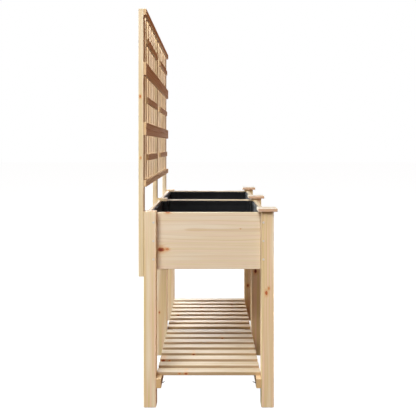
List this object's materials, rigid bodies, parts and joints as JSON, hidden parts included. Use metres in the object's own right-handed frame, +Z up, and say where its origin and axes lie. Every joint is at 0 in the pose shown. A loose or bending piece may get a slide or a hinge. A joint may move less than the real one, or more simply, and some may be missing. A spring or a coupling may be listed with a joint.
{
  "type": "potting bench",
  "caption": "Raised wooden potting bench: lined planter boxes on square legs, capped in front, with a slatted shelf below and a lattice trellis behind.",
  "frame": {"origin": "on the ground, under the middle of the bench's overall box", "axes": "+X along the bench, +Y from the front towards the trellis, +Z up"},
  "size_m": [1.105, 0.5, 1.4375],
  "materials": {
    "planed_fir": "planed, unfinished, knotty",
    "liner_sheet": "black planting sheet, matt",
    "screw_steel": "bright zinc-plated screws"
  },
  "bodies": {
    "root": {"end_board_left": "planed_fir", "end_board_right": "planed_fir", "front_board_left": "planed_fir", "front_board_right": "planed_fir", "leg_cap_left": "planed_fir", "leg_cap_middle": "planed_fir", "leg_cap_right": "planed_fir", "leg_front_left": "planed_fir", "leg_front_middle": "planed_fir", "leg_front_right": "planed_fir", "leg_rear_left": "planed_fir", "leg_rear_middle": "planed_fir", "leg_rear_right": "planed_fir", "liner_left": "liner_sheet", "liner_right": "liner_sheet", "middle_board": "planed_fir", "planter_floor": "planed_fir", "rear_board_left": "planed_fir", "rear_board_right": "planed_fir", "shelf_rail_front": "planed_fir", "shelf_rail_rear": "planed_fir", "shelf_slat_left_1": "planed_fir", "shelf_slat_left_2": "planed_fir", "shelf_slat_left_3": "planed_fir", "shelf_slat_left_4": "planed_fir", "shelf_slat_left_5": "planed_fir", "shelf_slat_left_6": "planed_fir", "shelf_slat_left_7": "planed_fir", "shelf_slat_left_8": "planed_fir", "shelf_slat_right_1": "planed_fir", "shelf_slat_right_2": "planed_fir", "shelf_slat_right_3": "planed_fir", "shelf_slat_right_4": "planed_fir", "shelf_slat_right_5": "planed_fir", "shelf_slat_right_6": "planed_fir", "shelf_slat_right_7": "planed_fir", "shelf_slat_right_8": "planed_fir", "short_lath_bottom_left": "planed_fir", "short_lath_bottom_right": "planed_fir", "short_lath_middle_left": "planed_fir", "short_lath_middle_right": "planed_fir", "short_lath_top_left": "planed_fir", "short_lath_top_right": "planed_fir", "trellis_double_rail_lower": "planed_fir", "trellis_double_rail_upper": "planed_fir", "trellis_post_left": "planed_fir", "trellis_post_middle": "planed_fir", "trellis_post_right": "planed_fir", "trellis_rail_bottom": "planed_fir", "trellis_rail_top": "planed_fir", "upright_lath_left_1": "planed_fir", "upright_lath_left_2": "planed_fir", "upright_lath_left_3": "planed_fir", "upright_lath_left_4": "planed_fir", "upright_lath_left_5": "planed_fir", "upright_lath_right_1": "planed_fir", "upright_lath_right_2": "planed_fir", "upright_lath_right_3": "planed_fir", "upright_lath_right_4": "planed_fir", "upright_lath_right_5": "planed_fir"}
  },
  "joints": []
}
